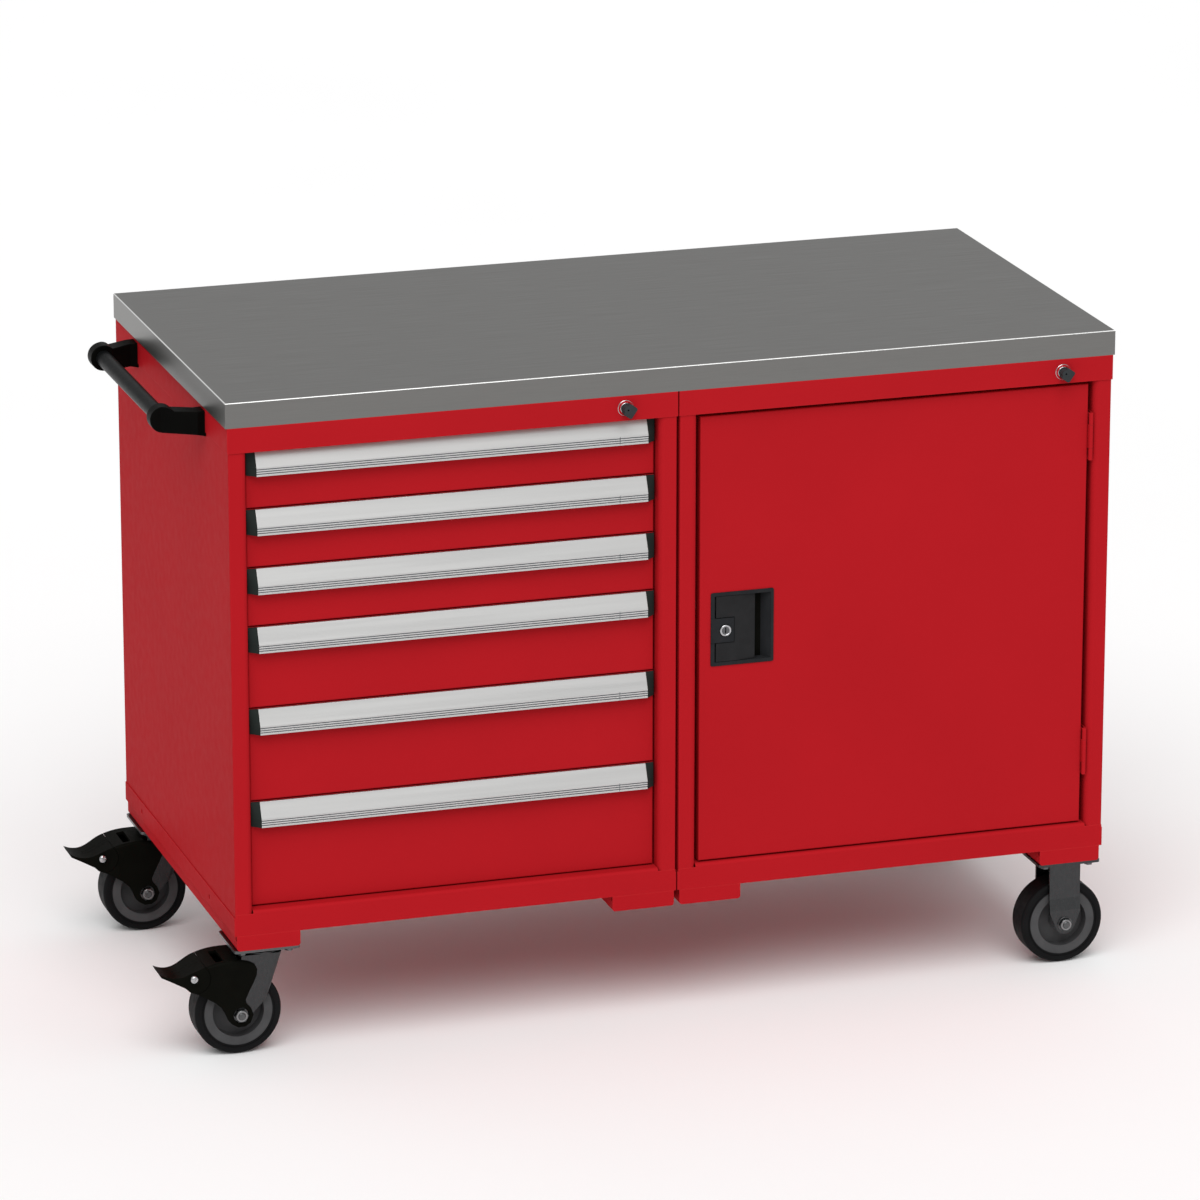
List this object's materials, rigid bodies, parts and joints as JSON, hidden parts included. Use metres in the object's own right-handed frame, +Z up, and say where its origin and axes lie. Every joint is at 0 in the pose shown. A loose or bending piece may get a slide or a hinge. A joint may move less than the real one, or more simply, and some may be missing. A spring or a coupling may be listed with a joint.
{
  "type": "mobile workbench with drawers",
  "caption": "Two steel cabinets on castors under one stainless worktop: a bank of drawers with full-width handles beside a lockable hinged-door cupboard",
  "frame": {"origin": "on the floor under the middle of the bounding box of the whole bench, castors, pedals and keys included", "axes": "+X along the worktop away from the push handle, +Y from the drawer fronts to the back, +Z up"},
  "size_m": [1.593, 0.73, 1.0755],
  "materials": {
    "stainless_sheet": "brushed along the length",
    "board_core": "pressed board",
    "anodised_aluminium": "satin anodised",
    "black_plastic": "fine texture",
    "grey_tube": "satin",
    "lock_chrome": "polished",
    "key_plastic": "moulded",
    "tyre_rubber": "smooth tread",
    "hub_plastic": "moulded",
    "zinc_steel": "zinc plated",
    "red_paint": "smooth powder coat"
  },
  "bodies": {
    "frame": {"base_channels": "red_paint", "cabinet_backs": "red_paint", "cabinet_bases": "red_paint", "cabinet_shelf": "red_paint", "cabinet_top_caps": "red_paint", "castor_bolts": "zinc_steel", "door_cabinet_left_side": "red_paint", "door_cabinet_right_side": "red_paint", "drawer_cabinet_left_side": "red_paint", "drawer_cabinet_right_side": "red_paint", "hinge_frame_leaves": "red_paint", "push_handle_bar": "grey_tube", "push_handle_brackets": "black_plastic", "rigid_castor_frames": "zinc_steel", "slide_channels": "zinc_steel", "slide_uprights": "red_paint", "swivel_castor_plates": "zinc_steel", "top_lock_barrels": "lock_chrome", "worktop_core": "board_core", "worktop_skin": "stainless_sheet"},
    "drawer_1": {"drawer_1_box": "red_paint", "drawer_1_handle": "anodised_aluminium", "drawer_1_end_caps": "black_plastic"},
    "drawer_2": {"drawer_2_box": "red_paint", "drawer_2_handle": "anodised_aluminium", "drawer_2_end_caps": "black_plastic"},
    "drawer_3": {"drawer_3_box": "red_paint", "drawer_3_handle": "anodised_aluminium", "drawer_3_end_caps": "black_plastic"},
    "drawer_4": {"drawer_4_box": "red_paint", "drawer_4_handle": "anodised_aluminium", "drawer_4_end_caps": "black_plastic"},
    "drawer_5": {"drawer_5_box": "red_paint", "drawer_5_handle": "anodised_aluminium", "drawer_5_end_caps": "black_plastic"},
    "drawer_6": {"drawer_6_box": "red_paint", "drawer_6_handle": "anodised_aluminium", "drawer_6_end_caps": "black_plastic"},
    "door": {"door_panel": "red_paint", "hinge_door_leaves": "red_paint", "latch_housing": "black_plastic"},
    "paddle": {"latch_paddle": "black_plastic"},
    "bolt": {"latch_bolt": "zinc_steel"},
    "door_lock": {"latch_lock": "lock_chrome"},
    "drawer_key": {"drawer_lock_key": "key_plastic"},
    "cabinet_key": {"cabinet_lock_key": "key_plastic"},
    "swivel_front": {"swivel_fork_front": "zinc_steel", "brake_housing_front": "black_plastic"},
    "pedal_front": {"brake_pedal_front": "black_plastic"},
    "swivel_wheel_front": {"swivel_tyre_front": "tyre_rubber", "swivel_hub_front": "hub_plastic"},
    "rigid_wheel_front": {"rigid_tyre_front": "tyre_rubber", "rigid_hub_front": "hub_plastic"},
    "swivel_rear": {"swivel_fork_rear": "zinc_steel", "brake_housing_rear": "black_plastic"},
    "pedal_rear": {"brake_pedal_rear": "black_plastic"},
    "swivel_wheel_rear": {"swivel_tyre_rear": "tyre_rubber", "swivel_hub_rear": "hub_plastic"},
    "rigid_wheel_rear": {"rigid_tyre_rear": "tyre_rubber", "rigid_hub_rear": "hub_plastic"}
  },
  "joints": [
    {"name": "drawer_1_slide", "type": "slide", "parent": "frame", "child": "drawer_1", "axis": [0, -1, 0], "range_m": [0, 0.45]},
    {"name": "drawer_2_slide", "type": "slide", "parent": "frame", "child": "drawer_2", "axis": [0, -1, 0], "range_m": [0, 0.45]},
    {"name": "drawer_3_slide", "type": "slide", "parent": "frame", "child": "drawer_3", "axis": [0, -1, 0], "range_m": [0, 0.45]},
    {"name": "drawer_4_slide", "type": "slide", "parent": "frame", "child": "drawer_4", "axis": [0, -1, 0], "range_m": [0, 0.45]},
    {"name": "drawer_5_slide", "type": "slide", "parent": "frame", "child": "drawer_5", "axis": [0, -1, 0], "range_m": [0, 0.45]},
    {"name": "drawer_6_slide", "type": "slide", "parent": "frame", "child": "drawer_6", "axis": [0, -1, 0], "range_m": [0, 0.45]},
    {"name": "door_hinge", "type": "hinge", "parent": "frame", "child": "door", "pos_m": [0.7467, -0.346, 0.619], "axis": [0, 0, 1], "range_deg": [0, 105]},
    {"name": "latch_paddle_turn", "type": "hinge", "parent": "door", "child": "paddle", "pos_m": [0.1175, -0.339, 0.635], "axis": [0, 0, -1], "range_deg": [0, 30]},
    {"name": "latch_bolt_slide", "type": "slide", "parent": "door", "child": "bolt", "axis": [1, 0, 0], "range_m": [0, 0.008]},
    {"name": "door_lock_turn", "type": "hinge", "parent": "door", "child": "door_lock", "pos_m": [0.1312, -0.335, 0.6336], "axis": [0, -1, 0], "range_deg": [0, 90]},
    {"name": "drawer_key_turn", "type": "hinge", "parent": "frame", "child": "drawer_key", "pos_m": [-0.038, -0.345, 1.0151], "axis": [0, -1, 0], "range_deg": [0, 90]},
    {"name": "cabinet_key_turn", "type": "hinge", "parent": "frame", "child": "cabinet_key", "pos_m": [0.695, -0.345, 1.0137], "axis": [0, -1, 0], "range_deg": [0, 90]},
    {"name": "castor_swivel_front", "type": "hinge", "parent": "frame", "child": "swivel_front", "pos_m": [-0.628, -0.2955, 0.17], "axis": [0, 0, 1], "continuous": true},
    {"name": "swivel_wheel_spin_front", "type": "hinge", "parent": "swivel_front", "child": "swivel_wheel_front", "pos_m": [-0.6695, -0.2955, 0.0705], "axis": [0, 1, 0], "continuous": true},
    {"name": "brake_pedal_press_front", "type": "hinge", "parent": "swivel_front", "child": "pedal_front", "pos_m": [-0.744, -0.2955, 0.138], "axis": [0, -1, 0], "range_deg": [0, 8]},
    {"name": "rigid_wheel_spin_front", "type": "hinge", "parent": "frame", "child": "rigid_wheel_front", "pos_m": [0.726, -0.2955, 0.0705], "axis": [0, 1, 0], "continuous": true},
    {"name": "castor_swivel_rear", "type": "hinge", "parent": "frame", "child": "swivel_rear", "pos_m": [-0.628, 0.3105, 0.17], "axis": [0, 0, 1], "continuous": true},
    {"name": "swivel_wheel_spin_rear", "type": "hinge", "parent": "swivel_rear", "child": "swivel_wheel_rear", "pos_m": [-0.6695, 0.3105, 0.0705], "axis": [0, 1, 0], "continuous": true},
    {"name": "brake_pedal_press_rear", "type": "hinge", "parent": "swivel_rear", "child": "pedal_rear", "pos_m": [-0.744, 0.3105, 0.138], "axis": [0, -1, 0], "range_deg": [0, 8]},
    {"name": "rigid_wheel_spin_rear", "type": "hinge", "parent": "frame", "child": "rigid_wheel_rear", "pos_m": [0.726, 0.3105, 0.0705], "axis": [0, 1, 0], "continuous": true}
  ],
  "couplings": [
    {"joint": "latch_bolt_slide", "follows": "latch_paddle_turn", "m_per_rad": 0.015}
  ]
}
